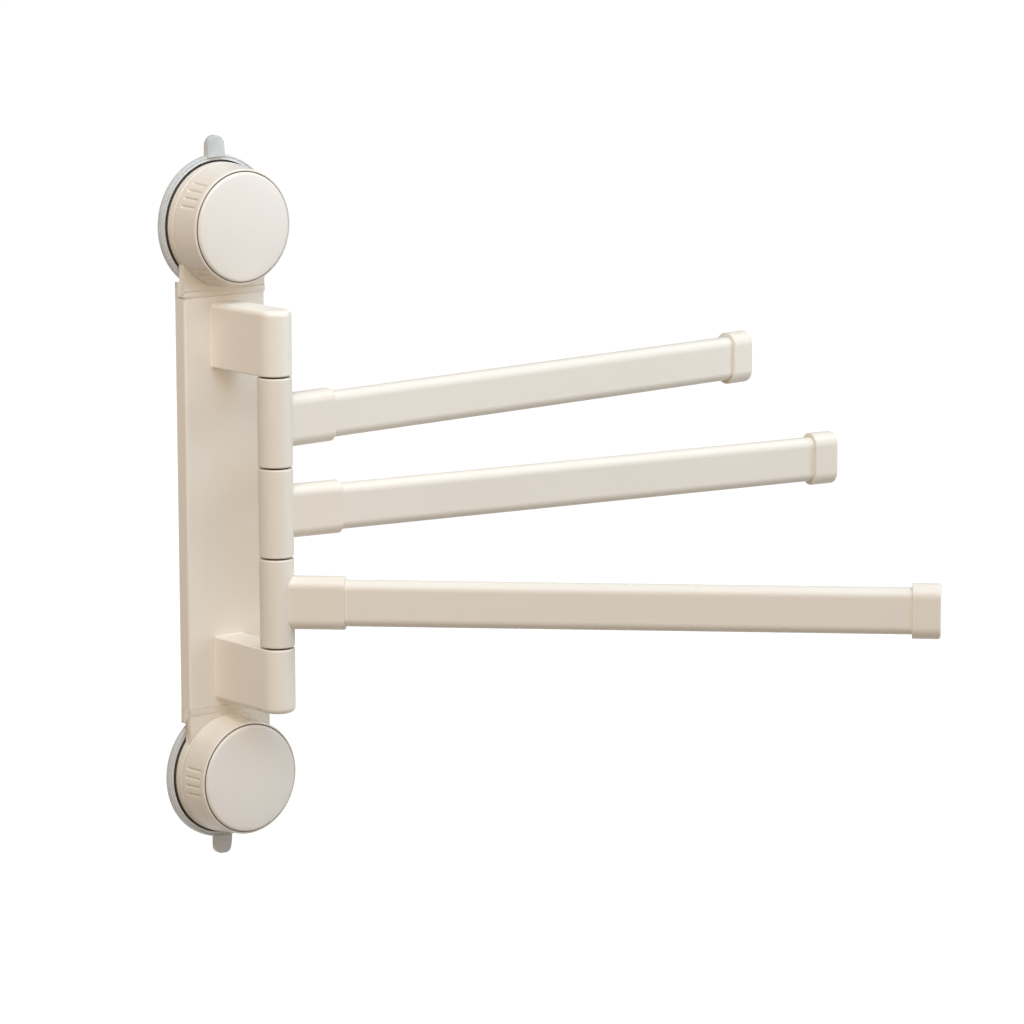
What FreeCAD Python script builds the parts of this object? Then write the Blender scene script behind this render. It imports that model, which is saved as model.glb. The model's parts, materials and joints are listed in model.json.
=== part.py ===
import FreeCAD, Part
import math
import os
import re
import Sketcher

# Swing arm towel bar: a wall plate held by a suction cup at each end, and three arms that
# swing on one upright pin between two brackets of the plate.
# Frame: the wall is the plane Y = 0 and the product stands out of it towards -Y, +Z is up,
# +X is to the right along the wall. The origin is midway between the two suction cups.
# "Depth" below always means the distance from the wall, so depth d is the plane Y = -d.

doc = FreeCAD.newDocument("swing_arm_towel_bar")
V = FreeCAD.Vector

# ---------------------------------------------------------------- driving dimensions (mm)
SIZES = {
    # wall plate and its two brackets
    "plate_width": 49.4,
    "plate_depth": 8.1,
    "plate_wall_gap": 0.3,
    "plate_skin": 2.2,
    "plate_edge_round": 1.4,
    "rib_thickness": 1.8,
    "rib_cells": 6,
    "bracket_to_knob": 8.55,
    "bracket_skin": 2.4,
    "bracket_round": 3.0,
    "bracket_root_round": 0.5,
    # the hinge column
    "pin_to_wall": 50.5,
    "pin_radius": 3.0,
    "pin_cover": 3.2,
    "pin_end_round": 0.5,
    "plug_radius": 4.2,
    "plug_height": 2.4,
    "barrel_radius": 8.78,
    "barrel_pitch": 45.8,
    "barrel_gap": 0.9,
    "barrel_round": 0.8,
    "washer_radius": 6.3,
    "bush_radius": 5.4,
    "bush_length": 12.0,
    "bush_relief": 0.6,
    # the arms
    "arm_length": 331.8,
    "bar_height": 23.4,
    "bar_thickness": 11.0,
    "bar_corner": 4.6,
    "bar_skin": 1.6,
    "socket_end": 34.65,
    "socket_bottom": 13.0,
    "socket_height": 27.1,
    "socket_thickness": 12.6,
    "socket_corner": 5.7,
    "socket_round": 0.5,
    "cap_length": 14.3,
    "cap_height": 28.0,
    "cap_thickness": 14.2,
    "cap_corner": 6.9,
    "cap_end_skin": 2.4,
    "cap_round": 1.6,
    # suction cups
    "cup_spacing": 282.0,
    "end_drop": 36.0,
    "cup_radius": 34.6,
    "cup_rim_height": 3.2,
    "cup_edge_height": 0.8,
    "cup_bevel": 0.6,
    "cup_seat_height": 4.0,
    "cup_seal_width": 5.0,
    "cup_hollow": 2.8,
    "cup_crown_drop": 1.0,
    "cup_boss_radius": 7.2,
    "cup_boss_height": 12.2,
    "cup_lip_width": 1.2,
    "cup_groove_floor": 1.2,
    "cup_bead_radius": 32.2,
    "cup_bead": 0.4,
    "tab_width": 10.2,
    "tab_reach": 9.8,
    "tab_lift": 0.1,
    "tab_thickness": 4.25,
    "tab_end_round": 5.0,
    # housings over the cups
    "drum_radius": 31.0,
    "drum_round": 0.8,
    "drum_rim_width": 4.0,
    "floor_skin": 2.2,
    "collar_radius": 26.7,
    "collar_width": 1.8,
    "collar_height": 3.0,
    "turret_radius": 9.6,
    "turret_skin": 2.0,
    "neck_recess": 0.8,
    "foot_margin": 0.6,
    "foot_height": 8.0,
    "foot_corner": 0.5,
    "lip_height": 3.7,
    "lip_round": 0.6,
    "parting_gap": 0.12,
    "cup_clear": 2.0,
    "tongue_width": 33.0,
    "tongue_length": 14.0,
    "tongue_thickness": 3.1,
    "screw_spread": 22.0,
    "screw_boss_radius": 3.0,
    "screw_radius": 1.45,
    "screw_head_radius": 3.9,
    "screw_head_height": 1.8,
    "screw_bite": 4.4,
    # locking knobs
    "knob_gap": 0.3,
    "knob_depth": 16.3,
    "knob_rear_radius": 30.3,
    "knob_front_radius": 29.0,
    "knob_rim_radius": 28.0,
    "knob_rim_round": 0.8,
    "knob_skin": 3.3,
    "knob_web_depth": 16.4,
    "knob_web": 2.2,
    "hub_skin": 2.3,
    "groove_groups": 4,
    "groove_count": 4,
    "groove_step": 8.4,
    "groove_first": 145.5,
    "groove_width": 1.8,
    "groove_cut": 0.3,
    "groove_start": 12.0,
    "groove_length": 10.0,
    "disc_gap": 0.35,
    "disc_front": 26.9,
    "disc_dome": 1.2,
    "disc_thickness": 3.4,
    "disc_round": 1.5,
    "disc_skirt_radius": 24.0,
    "disc_skirt": 1.6,
    # the draw screw of each cup
    "stud_radius": 4.0,
    "stud_flat": 3.0,
    "stud_end": 21.8,
    "head_radius": 5.15,
    "head_start": 5.0,
    "head_height": 2.9,
    "nut_across": 17.0,
    "nut_height": 5.0,
    "nut_ledge": 3.8,
    # clearances
    "running": 0.05,
    "seat": 0.02,
    "turning": 0.3,
    "boss_clear": 0.8,
    "boss_stop": 0.1,
    "boss_play": 0.15,
    "bearing_gap": 0.1,
    # how far a cut starts or ends past the face that it opens
    "overrun": 1.0,
    # rest angles of the arms from the wall's +X direction, negative is out from the wall
    "arm_top_angle": 4.1,
    "arm_middle_angle": -8.8,
    "arm_bottom_angle": -43.4,
    # how far each unit's cup and locked knob are turned about the cup's axis
    "upper_cup_turn": -1.5,
    "lower_cup_turn": 3.0,
    "upper_knob_turn": 0.0,
    "lower_knob_turn": -33.5,
}

sheet = doc.addObject("Spreadsheet::Sheet", "Sizes")
for row, (alias, number) in enumerate(SIZES.items(), start=1):
    sheet.set("A%d" % row, alias)
    sheet.set("B%d" % row, str(number))
    sheet.setAlias("B%d" % row, alias)
doc.recompute()

# Sizes that follow from the driving ones, written once as formulas of the sheet.
DERIVED = {
    "plate_front": "(plate_wall_gap + plate_depth)",
    "plate_inner": "(plate_wall_gap + plate_depth - plate_skin)",
    "plate_length": "(cup_spacing - 2 * end_drop)",
    "bracket_low": "(1.5 * barrel_pitch + barrel_gap / 2)",
    "bracket_top": "(cup_spacing / 2 - knob_rear_radius - bracket_to_knob)",
    "bracket_height": "(cup_spacing / 2 - knob_rear_radius - bracket_to_knob"
                      " - 1.5 * barrel_pitch - barrel_gap / 2)",
    "barrel_height": "(barrel_pitch - barrel_gap)",
    "foot_half": "(plate_width / 2 + foot_margin)",
    "neck_front": "(plate_wall_gap + plate_depth - neck_recess)",
    "floor_back": "(plate_wall_gap + plate_depth - floor_skin)",
    "turret_bore": "(turret_radius - turret_skin)",
    "turret_top": "(cup_boss_height + boss_clear + turret_skin)",
    "knob_rear": "(plate_wall_gap + plate_depth + knob_gap)",
    "knob_front": "(plate_wall_gap + plate_depth + knob_gap + knob_depth)",
    "knob_bore": "(knob_rear_radius - knob_skin)",
    "nut_rear": "(cup_boss_height + boss_clear + turret_skin + bearing_gap)",
    "disc_rear": "(disc_front - disc_thickness)",
    "web_front": "(knob_web_depth + knob_web)",
    "tongue_front": "(plate_wall_gap + plate_depth - plate_skin - seat)",
    "tongue_back": "(plate_wall_gap + plate_depth - plate_skin - seat - tongue_thickness)",
    "screw_drop": "(end_drop + tongue_length / 2)",
    "parting_drop": "(end_drop - parting_gap)",
    "cell_step": "((plate_length - 2 * (tongue_length + 2 * rib_thickness)) / rib_cells)",
}


def formula(text):
    """A formula of size names as an expression that refers to the sheet's cells."""
    text = str(text)
    for _ in range(3):
        text = re.sub(r"[A-Za-z_]\w*", lambda w: DERIVED.get(w.group(0), w.group(0)), text)
    return re.sub(r"[A-Za-z_]\w*",
                  lambda w: "Sizes." + w.group(0) if w.group(0) in SIZES else w.group(0), text)


def value(text):
    """The present number of a formula."""
    return float(sheet.evalExpression(formula(text)))


# ---------------------------------------------------------------- modelling helpers
def new_body(label):
    body = doc.addObject("PartDesign::Body", label)
    body.Label = label
    return body


def origin_of(body, role):
    return next(f for f in body.Origin.OriginFeatures if f.Role == role)


def new_sketch(body, plane, name, offset="0"):
    """A sketch on one of the body's own planes, moved along the plane's normal."""
    sketch = body.newObject("Sketcher::SketchObject", name)
    sketch.AttachmentSupport = (origin_of(body, plane), [""])
    sketch.MapMode = "FlatFace"
    sketch.AttachmentOffset = FreeCAD.Placement(V(0, 0, value(offset)), FreeCAD.Rotation())
    sketch.setExpression("AttachmentOffset.Base.z", formula(offset))
    return sketch


def drive(sketch, constraint, text):
    """Adds a dimension to a sketch and ties it to a formula."""
    index = sketch.addConstraint(constraint)
    sketch.setExpression("Constraints[%d]" % index, formula(text))


def pin_point(sketch, geometry, corner, x, y):
    """Fixes one point of a sketch at the formulas x and y."""
    if str(x) == "0":
        sketch.addConstraint(Sketcher.Constraint("PointOnObject", geometry, corner, -2))
    else:
        drive(sketch, Sketcher.Constraint("DistanceX", -1, 1, geometry, corner, value(x)), x)
    if str(y) == "0":
        sketch.addConstraint(Sketcher.Constraint("PointOnObject", geometry, corner, -1))
    else:
        drive(sketch, Sketcher.Constraint("DistanceY", -1, 1, geometry, corner, value(y)), y)


def add_outline(sketch, points):
    """A closed outline through corners given as formulas (x, y).

    A corner given as (x, y, "arc") starts an arc to the next one, centred on the sketch's
    upright axis, as a dome or a dish has when it is turned about that axis.
    """
    first = sketch.GeometryCount
    count = len(points)
    corners = [V(value(p[0]), value(p[1]), 0) for p in points]
    ends = []
    for i, point in enumerate(points):
        here, there = corners[i], corners[(i + 1) % count]
        if len(point) == 2:
            sketch.addGeometry(Part.LineSegment(here, there), False)
            ends.append((1, 2))
            continue
        rise = (there.dot(there) - here.dot(here)) / (2 * (there.y - here.y))
        centre = V(0, rise, 0)
        circle = Part.Circle(centre, V(0, 0, 1), here.distanceToPoint(centre))
        turns = [math.atan2(c.y - rise, c.x) for c in (here, there)]
        forward = (turns[1] - turns[0]) % (2 * math.pi) < math.pi
        start, stop = turns if forward else reversed(turns)
        arc = sketch.addGeometry(Part.ArcOfCircle(circle, start, stop), False)
        sketch.addConstraint(Sketcher.Constraint("PointOnObject", arc, 3, -2))
        ends.append((1, 2) if forward else (2, 1))
    for i in range(count):
        after = (i + 1) % count
        sketch.addConstraint(Sketcher.Constraint(
            "Coincident", first + i, ends[i][1], first + after, ends[after][0]))
    for i, point in enumerate(points):
        pin_point(sketch, first + i, ends[i][0], point[0], point[1])


def add_box(sketch, x0, x1, y0, y1):
    add_outline(sketch, [(x0, y0), (x1, y0), (x1, y1), (x0, y1)])


def add_circle(sketch, radius, x="0", y="0"):
    index = sketch.addGeometry(Part.Circle(V(value(x), value(y), 0), V(0, 0, 1), value(radius)))
    pin_point(sketch, index, 3, x, y)
    drive(sketch, Sketcher.Constraint("Radius", index, value(radius)), radius)


def add_round_box(sketch, width, height, corner):
    """A rectangle with round corners, centred on the sketch's origin."""
    first = sketch.GeometryCount
    w, h, r = value(width) / 2, value(height) / 2, value(corner)
    a, b = w - r, h - r
    lines = [((-a, -h), (a, -h)), ((w, -b), (w, b)), ((a, h), (-a, h)), ((-w, b), (-w, -b))]
    centres = [(a, -b), (a, b), (-a, b), (-a, -b)]
    for k in range(4):
        (x0, y0), (x1, y1) = lines[k]
        sketch.addGeometry(Part.LineSegment(V(x0, y0, 0), V(x1, y1, 0)), False)
        circle = Part.Circle(V(centres[k][0], centres[k][1], 0), V(0, 0, 1), r)
        start = math.radians(-90 + 90 * k)
        sketch.addGeometry(Part.ArcOfCircle(circle, start, start + math.pi / 2), False)
    for k in range(4):
        line, arc, following = first + 2 * k, first + 2 * k + 1, first + (2 * k + 2) % 8
        sketch.addConstraint(Sketcher.Constraint("Tangent", line, 2, arc, 1))
        sketch.addConstraint(Sketcher.Constraint("Tangent", arc, 2, following, 1))
        flat = "Horizontal" if k % 2 == 0 else "Vertical"
        sketch.addConstraint(Sketcher.Constraint(flat, line))
        if k:
            sketch.addConstraint(Sketcher.Constraint("Equal", first + 1, arc))
    drive(sketch, Sketcher.Constraint("Radius", first + 1, r), corner)
    across = "(%s) / 2 - (%s)" % (width, corner)
    upward = "(%s) / 2 - (%s)" % (height, corner)
    pin_point(sketch, first + 3, 3, across, upward)
    pin_point(sketch, first + 7, 3, "-(%s)" % across, "-(%s)" % upward)


def add_double_d(sketch, radius, flat):
    """A circle with two parallel flats, for the stud and its guide hole."""
    r, f = value(radius), value(flat)
    top = math.sqrt(r * r - f * f)
    turn = math.atan2(top, f)
    circle = Part.Circle(V(0, 0, 0), V(0, 0, 1), r)
    first = sketch.GeometryCount
    sketch.addGeometry(Part.ArcOfCircle(circle, turn, math.pi - turn), False)
    sketch.addGeometry(Part.LineSegment(V(-f, top, 0), V(-f, -top, 0)), False)
    sketch.addGeometry(Part.ArcOfCircle(circle, math.pi + turn, 2 * math.pi - turn), False)
    sketch.addGeometry(Part.LineSegment(V(f, -top, 0), V(f, top, 0)), False)
    for i in range(4):
        sketch.addConstraint(
            Sketcher.Constraint("Coincident", first + i, 2, first + (i + 1) % 4, 1))
    for arc in (first, first + 2):
        sketch.addConstraint(Sketcher.Constraint("Coincident", arc, 3, -1, 1))
    sketch.addConstraint(Sketcher.Constraint("Equal", first, first + 2))
    sketch.addConstraint(Sketcher.Constraint("Vertical", first + 1))
    sketch.addConstraint(Sketcher.Constraint("Vertical", first + 3))
    drive(sketch, Sketcher.Constraint("Radius", first, r), radius)
    drive(sketch, Sketcher.Constraint("DistanceX", -1, 1, first + 1, 1, -f), "-(%s)" % flat)
    drive(sketch, Sketcher.Constraint("DistanceX", -1, 1, first + 3, 1, f), flat)


def pad(body, sketch, name, length):
    feature = body.newObject("PartDesign::Pad", name)
    feature.Profile = sketch
    feature.Length = value(length)
    feature.setExpression("Length", formula(length))
    doc.recompute()
    return feature


def pocket(body, sketch, name, length, forward=True):
    """Cuts a sketch's outline out of the body, along the sketch's normal or against it."""
    before = body.Shape.Volume
    feature = body.newObject("PartDesign::Pocket", name)
    feature.Profile = sketch
    feature.Reversed = forward
    feature.Length = value(length)
    feature.setExpression("Length", formula(length))
    doc.recompute()
    if not feature.Shape.Volume < before - 0.01:
        raise ValueError("%s cuts nothing" % name)
    return feature


def revolve(body, sketch, name):
    feature = body.newObject("PartDesign::Revolution", name)
    feature.Profile = sketch
    feature.ReferenceAxis = (sketch, ["V_Axis"])
    feature.Angle = 360
    doc.recompute()
    return feature


def mirror(body, features, name, role):
    feature = body.newObject("PartDesign::Mirrored", name)
    feature.Originals = features
    feature.MirrorPlane = (origin_of(body, role), [""])
    body.Tip = feature
    doc.recompute()
    return feature


def edges_where(shape, test):
    return ["Edge%d" % (i + 1) for i, edge in enumerate(shape.Edges) if test(edge)]


def lies(edge, axis, where):
    """Whether an edge lies wholly at one coordinate."""
    low = getattr(edge.BoundBox, axis + "Min")
    high = getattr(edge.BoundBox, axis + "Max")
    return abs(low - where) < 0.01 and abs(high - where) < 0.01


def fillet(body, name, radius, test):
    base = body.Tip
    names = edges_where(base.Shape, test)
    if not names:
        raise ValueError("%s finds no edge" % name)
    feature = body.newObject("PartDesign::Fillet", name)
    feature.Base = (base, names)
    feature.Radius = value(radius)
    feature.setExpression("Radius", formula(radius))
    doc.recompute()
    return feature


def place(body, x="0", y="0", z="0", axis=V(0, 0, 1), angle="0"):
    """Puts a sub-part in the product's frame; its place follows the sheet."""
    turn = FreeCAD.Rotation(axis, value(angle))
    body.Placement = FreeCAD.Placement(V(value(x), value(y), value(z)), turn)
    for name, text in (("x", x), ("y", y), ("z", z)):
        if str(text) != "0":
            body.setExpression("Placement.Base.%s" % name, formula(text))


nodes = []

# ---------------------------------------------------------------- wall plate
# One moulding: a shallow tray open to the wall, ribbed across, with two hollow brackets on
# its front that carry the hinge pin. The brackets are cored from behind.
plate = new_body("back_plate")
outline = new_sketch(plate, "XZ_Plane", "plate_outline", "plate_wall_gap")
add_box(outline, "-plate_width / 2", "plate_width / 2", "-plate_length / 2", "plate_length / 2")
pad(plate, outline, "plate_slab", "plate_depth")
front = -value("plate_front")
fillet(plate, "plate_edges", "plate_edge_round",
       lambda e: lies(e, "Y", front) and e.Length > value("plate_length") - 1)

# Bracket: a plan outline with a half-round nose about the pin, one above and one below.
plan = new_sketch(plate, "XY_Plane", "bracket_plan", "bracket_low")
nose_y, root_y = -value("pin_to_wall"), -value("plate_inner")
half = value("barrel_radius")
plan.addGeometry(Part.LineSegment(V(-half, root_y, 0), V(-half, nose_y, 0)), False)
nose = Part.Circle(V(0, nose_y, 0), V(0, 0, 1), half)
plan.addGeometry(Part.ArcOfCircle(nose, math.pi, 2 * math.pi), False)
plan.addGeometry(Part.LineSegment(V(half, nose_y, 0), V(half, root_y, 0)), False)
plan.addGeometry(Part.LineSegment(V(half, root_y, 0), V(-half, root_y, 0)), False)
plan.addConstraint(Sketcher.Constraint("Tangent", 0, 2, 1, 1))
plan.addConstraint(Sketcher.Constraint("Tangent", 1, 2, 2, 1))
plan.addConstraint(Sketcher.Constraint("Coincident", 2, 2, 3, 1))
plan.addConstraint(Sketcher.Constraint("Coincident", 3, 2, 0, 1))
plan.addConstraint(Sketcher.Constraint("Horizontal", 3))
plan.addConstraint(Sketcher.Constraint("Vertical", 0))
plan.addConstraint(Sketcher.Constraint("Vertical", 2))
drive(plan, Sketcher.Constraint("Radius", 1, half), "barrel_radius")
pin_point(plan, 1, 3, "0", "-pin_to_wall")
drive(plan, Sketcher.Constraint("DistanceY", -1, 1, 3, 1, root_y), "-plate_inner")
bracket = pad(plate, plan, "bracket_block", "bracket_height")
mirror(plate, [bracket], "bracket_pair", "XY_Plane")
fillet(plate, "bracket_outer_edges", "bracket_round",
       lambda e: (lies(e, "Z", value("bracket_top")) or lies(e, "Z", -value("bracket_top")))
       and e.BoundBox.YMax < front + 0.01 and e.BoundBox.YMin < front - 1)
fillet(plate, "bracket_inner_edges", "barrel_round",
       lambda e: (lies(e, "Z", value("bracket_low")) or lies(e, "Z", -value("bracket_low")))
       and e.BoundBox.YMin < front - 1)

# The tray's hollow: a row of cells between cross ribs, and a seat for a housing's tongue
# at each end, open through the end wall.
cell = new_sketch(plate, "XZ_Plane", "cell_outline", "plate_wall_gap")
inner_half = "plate_width / 2 - plate_skin"
add_box(cell, "-(%s)" % inner_half, inner_half,
        "-cell_step * rib_cells / 2 + rib_thickness / 2",
        "-cell_step * rib_cells / 2 + cell_step - rib_thickness / 2")
cell_cut = pocket(plate, cell, "cell", "plate_depth - plate_skin")
cells = plate.newObject("PartDesign::LinearPattern", "cell_row")
cells.Originals = [cell_cut]
cells.Direction = (origin_of(plate, "Z_Axis"), [""])
cells.setExpression("Length", formula("cell_step * (rib_cells - 1)"))
cells.setExpression("Occurrences", formula("rib_cells"))
plate.Tip = cells
doc.recompute()
seat_outline = new_sketch(plate, "XZ_Plane", "tongue_seat_outline", "plate_wall_gap")
add_box(seat_outline, "-(tongue_width / 2 + turning)", "tongue_width / 2 + turning",
        "plate_length / 2 - tongue_length - turning", "plate_length / 2 + overrun")
seat_cut = pocket(plate, seat_outline, "tongue_seat", "plate_depth - plate_skin")
mirror(plate, [seat_cut], "tongue_seats", "XY_Plane")

# Screw bosses in each tongue seat, with blind holes for the screws.
boss = new_sketch(plate, "XZ_Plane", "screw_boss_outline", "tongue_back + boss_stop")
for side in ("-", ""):
    add_circle(boss, "screw_boss_radius", side + "screw_spread / 2",
               "plate_length / 2 - tongue_length / 2")
boss_pad = pad(plate, boss, "screw_boss", "tongue_thickness")
mirror(plate, [boss_pad], "screw_bosses", "XY_Plane")
bite = new_sketch(plate, "XZ_Plane", "screw_hole_outline", "tongue_back")
for side in ("-", ""):
    add_circle(bite, "screw_radius + running", side + "screw_spread / 2",
               "plate_length / 2 - tongue_length / 2")
bite_cut = pocket(plate, bite, "screw_hole", "screw_bite + turning")
mirror(plate, [bite_cut], "screw_holes", "XY_Plane")

# Cores of the brackets, from the wall side up to the wall round the pin.
core = new_sketch(plate, "XZ_Plane", "bracket_core_outline", "plate_wall_gap")
add_box(core, "-(barrel_radius - bracket_skin)", "barrel_radius - bracket_skin",
        "bracket_low + bracket_skin", "bracket_top - bracket_skin")
core_cut = pocket(plate, core, "bracket_core",
                  "pin_to_wall - plate_wall_gap - pin_radius - bracket_skin")
mirror(plate, [core_cut], "bracket_cores", "XY_Plane")

# Pin hole: open at the bottom of the lower bracket, blind in the upper one.
bore = new_sketch(plate, "XY_Plane", "pin_bore_outline", "-bracket_top - overrun")
add_circle(bore, "pin_radius + seat", "0", "-pin_to_wall")
pocket(plate, bore, "pin_bore", "2 * bracket_top + overrun - pin_cover")
mouth = new_sketch(plate, "XY_Plane", "plug_mouth_outline", "-bracket_top - overrun")
add_circle(mouth, "plug_radius + seat", "0", "-pin_to_wall")
pocket(plate, mouth, "plug_mouth", "plug_height + overrun")
fillet(plate, "bracket_roots", "bracket_root_round",
       lambda e: lies(e, "Y", front) and abs(abs(e.CenterOfMass.x) - half) < 0.01
       and e.Length > value("bracket_height") / 2)
nodes.append(plate)

# ---------------------------------------------------------------- hinge column
# Steel pin, pushed in from below and kept in by a plug; the arms turn on it.
pin = new_body("pivot_pin")
pin_plan = new_sketch(pin, "XY_Plane", "pin_plan", "-bracket_top + plug_height + seat")
add_circle(pin_plan, "pin_radius")
pad(pin, pin_plan, "pin_rod", "2 * bracket_top - plug_height - pin_cover - 2 * seat")
fillet(pin, "pin_ends", "pin_end_round", lambda e: e.BoundBox.ZLength < 0.01)
place(pin, y="-pin_to_wall")
nodes.append(pin)

plug = new_body("pin_plug")
plug_plan = new_sketch(plug, "XY_Plane", "plug_plan", "0")
add_circle(plug_plan, "plug_radius")
pad(plug, plug_plan, "plug_disc", "plug_height")
place(plug, y="-pin_to_wall", z="-bracket_top")
nodes.append(plug)


def ring(name, outer, inner, height, x="0", y="0", z="0"):
    """A plain round ring made of two cylinders, its lower face at z."""
    whole = doc.addObject("Part::Cylinder", name + "_outer")
    whole.setExpression("Radius", formula(outer))
    whole.setExpression("Height", formula(height))
    hole = doc.addObject("Part::Cylinder", name + "_hole")
    hole.setExpression("Radius", formula(inner))
    hole.setExpression("Height", formula(height))
    cut = doc.addObject("Part::Cut", name)
    cut.Base, cut.Tool = whole, hole
    place(cut, x, y, z)
    return cut


# A nylon washer in each of the four gaps of the column keeps the mouldings apart.
washers = doc.addObject("Part::Compound", "friction_washers")
washers.Links = [
    ring("washer_%d" % k, "washer_radius", "pin_radius + running", "barrel_gap - 2 * running",
         y="-pin_to_wall", z="(%s) * barrel_pitch - barrel_gap / 2 + running" % (k - 1.5))
    for k in range(4)
]
nodes.append(washers)

# ---------------------------------------------------------------- arms
# Each arm is drawn along its own X axis from the pin, then turned to its rest angle.
ARMS = [("top", 1, "arm_top_angle"), ("middle", 0, "arm_middle_angle"),
        ("bottom", -1, "arm_bottom_angle")]
for level, step, angle in ARMS:
    where = dict(y="-pin_to_wall", z="(%d) * barrel_pitch" % step, angle=angle)

    # Hub: hinge barrel with a socket for the bar, one moulding.
    hub = new_body(level + "_arm_hub")
    barrel = new_sketch(hub, "XY_Plane", "barrel_plan", "-barrel_height / 2")
    add_circle(barrel, "barrel_radius")
    pad(hub, barrel, "barrel", "barrel_height")
    fillet(hub, "barrel_ends", "barrel_round", lambda e: e.BoundBox.ZLength < 0.01)
    shell = new_sketch(hub, "YZ_Plane", "socket_section", "0")
    add_round_box(shell, "socket_thickness", "socket_height", "socket_corner")
    pad(hub, shell, "socket", "socket_end")
    end = value("socket_end")
    fillet(hub, "socket_mouth_edge", "socket_round", lambda e: lies(e, "X", end))
    recess = new_sketch(hub, "YZ_Plane", "socket_bore_section", "socket_bottom")
    add_round_box(recess, "bar_thickness + 2 * seat", "bar_height + 2 * seat",
                  "bar_corner + seat")
    pocket(hub, recess, "socket_bore", "socket_end")
    for name, radius, start, length in (
            ("pin_way", "pin_radius + bush_relief", "-barrel_height / 2 - overrun",
             "barrel_height + 2 * overrun"),
            ("bush_seat_low", "bush_radius + seat", "-barrel_height / 2 - overrun",
             "bush_length + overrun"),
            ("bush_seat_high", "bush_radius + seat", "barrel_height / 2 - bush_length",
             "bush_length + overrun")):
        hole = new_sketch(hub, "XY_Plane", name + "_plan", start)
        add_circle(hole, radius)
        pocket(hub, hole, name, length)
    place(hub, **where)
    nodes.append(hub)

    # Two plain bushes, pressed into the barrel's ends, run on the pin.
    bushes = doc.addObject("Part::Compound", level + "_arm_bushes")
    bushes.Links = [
        ring("%s_bush_%s" % (level, tag), "bush_radius", "pin_radius + running",
             "bush_length", z=start)
        for tag, start in (("low", "-barrel_height / 2"), ("high", "barrel_height / 2 - bush_length"))
    ]
    place(bushes, **where)
    nodes.append(bushes)

    # Bar: a drawn oval tube, let into the socket at one end and the cap at the other.
    bar = new_body(level + "_arm_bar")
    section = new_sketch(bar, "YZ_Plane", "bar_section", "socket_bottom + seat")
    add_round_box(section, "bar_thickness", "bar_height", "bar_corner")
    add_round_box(section, "bar_thickness - 2 * bar_skin", "bar_height - 2 * bar_skin",
                  "bar_corner - bar_skin")
    pad(bar, section, "bar_tube", "arm_length - cap_end_skin - socket_bottom - 2 * seat")
    place(bar, **where)
    nodes.append(bar)

    # End cap: pushed over the bar's end, a little proud of it all round.
    cap = new_body(level + "_arm_end_cap")
    cover = new_sketch(cap, "YZ_Plane", "cap_section", "arm_length - cap_length")
    add_round_box(cover, "cap_thickness", "cap_height", "cap_corner")
    pad(cap, cover, "cap_block", "cap_length")
    tip = value("arm_length")
    fillet(cap, "cap_end_edge", "cap_round", lambda e: lies(e, "X", tip))
    start = tip - value("cap_length")
    fillet(cap, "cap_mouth_edge", "socket_round", lambda e: lies(e, "X", start))
    hollow = new_sketch(cap, "YZ_Plane", "cap_bore_section", "arm_length - cap_length - overrun")
    add_round_box(hollow, "bar_thickness + 2 * seat", "bar_height + 2 * seat",
                  "bar_corner + seat")
    pocket(cap, hollow, "cap_bore", "cap_length + overrun - cap_end_skin")
    place(cap, **where)
    nodes.append(cap)

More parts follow.
